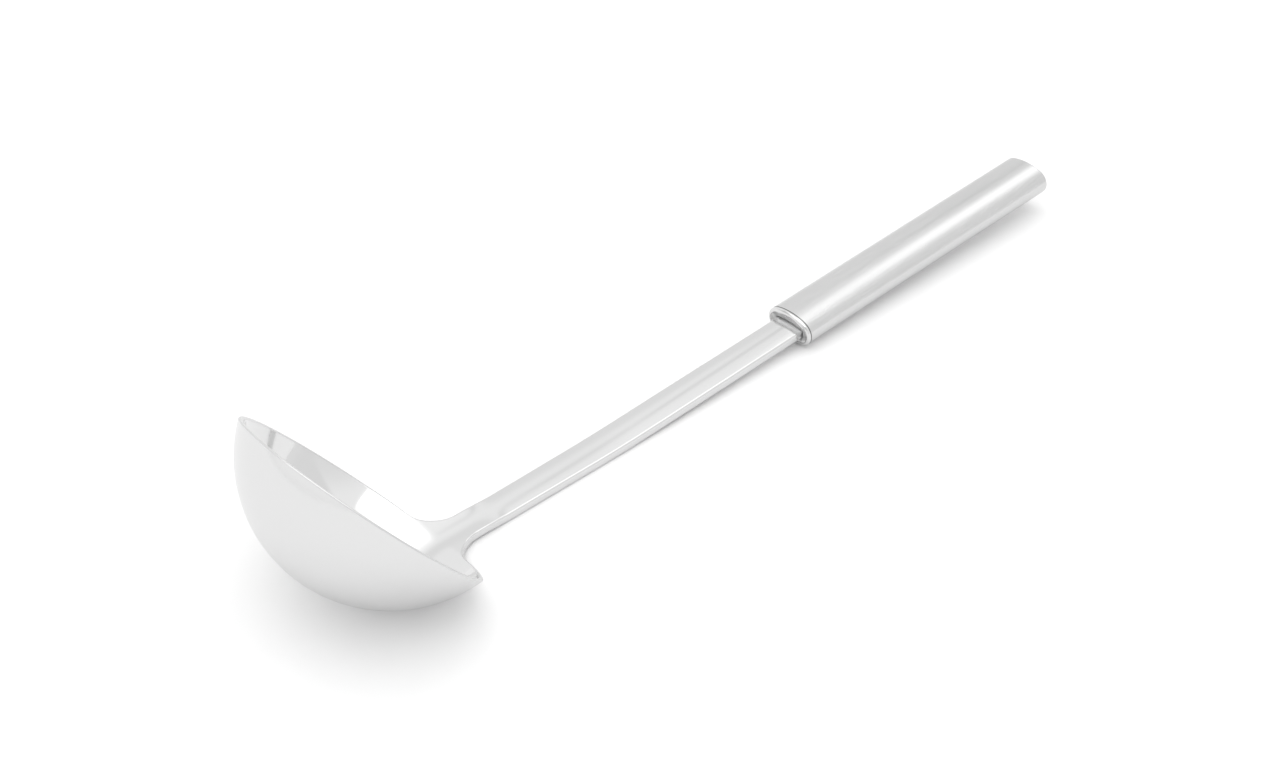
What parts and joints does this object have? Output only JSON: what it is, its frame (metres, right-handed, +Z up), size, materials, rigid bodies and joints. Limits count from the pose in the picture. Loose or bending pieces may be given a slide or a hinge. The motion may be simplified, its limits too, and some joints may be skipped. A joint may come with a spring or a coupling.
{
  "type": "soup ladle",
  "caption": "Stainless steel soup ladle with a deep round bowl, a flat polished stem that flares from the rim, and a brushed oval tube handle with a polished collar",
  "frame": {"origin": "on the table under the middle of the ladle: the centre of the bottom of its bounding box, as it lies with the bowl tipped towards the handle", "axes": "+X runs along the handle from the bowl to the rear cap, +Y across it, +Z up"},
  "size_m": [0.355, 0.0896, 0.0722],
  "materials": {
    "bowl_steel": "mirror polished inside and along the stem, satin outside the bowl",
    "collar_steel": "mirror polished",
    "handle_steel": "brushed along the handle",
    "core_resin": "cast, unseen",
    "cap_steel": "satin"
  },
  "bodies": {
    "root": {"bowl_and_stem": "bowl_steel", "front_collar": "collar_steel", "handle_tube": "handle_steel", "tang_core": "core_resin", "rear_cap": "cap_steel"}
  },
  "joints": []
}
